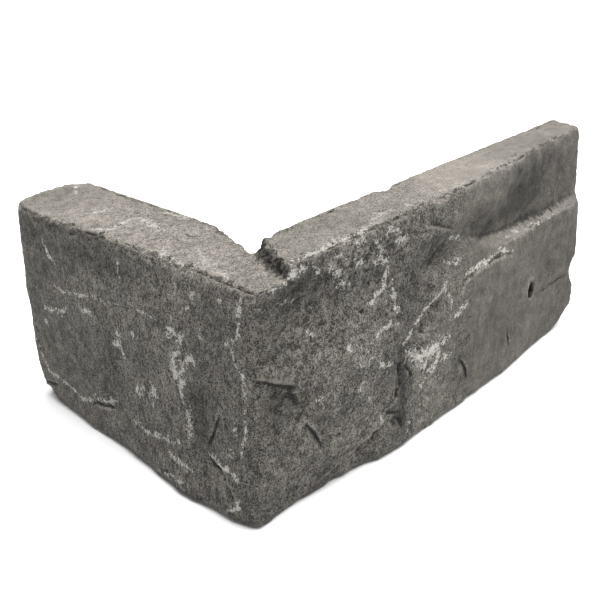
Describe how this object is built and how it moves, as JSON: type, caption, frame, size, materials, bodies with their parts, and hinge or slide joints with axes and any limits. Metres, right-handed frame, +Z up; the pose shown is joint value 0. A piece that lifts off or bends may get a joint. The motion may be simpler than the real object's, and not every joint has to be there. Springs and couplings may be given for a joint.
{
  "type": "stone cladding corner piece",
  "caption": "L-shaped riven stone veneer corner, with sawn backs at a right angle that fit round a wall's corner.",
  "frame": {"origin": "on the bed, at the inner corner where the planes of the two sawn backs meet: the arris of the wall it clads", "axes": "+X along the long return, +Y along the short return, +Z up from the bed; the wall fills the quadrant of positive X and Y"},
  "size_m": [0.2261, 0.1591, 0.1],
  "materials": {
    "stone": "matte"
  },
  "bodies": {
    "root": {"corner_stone": "stone"}
  },
  "joints": []
}
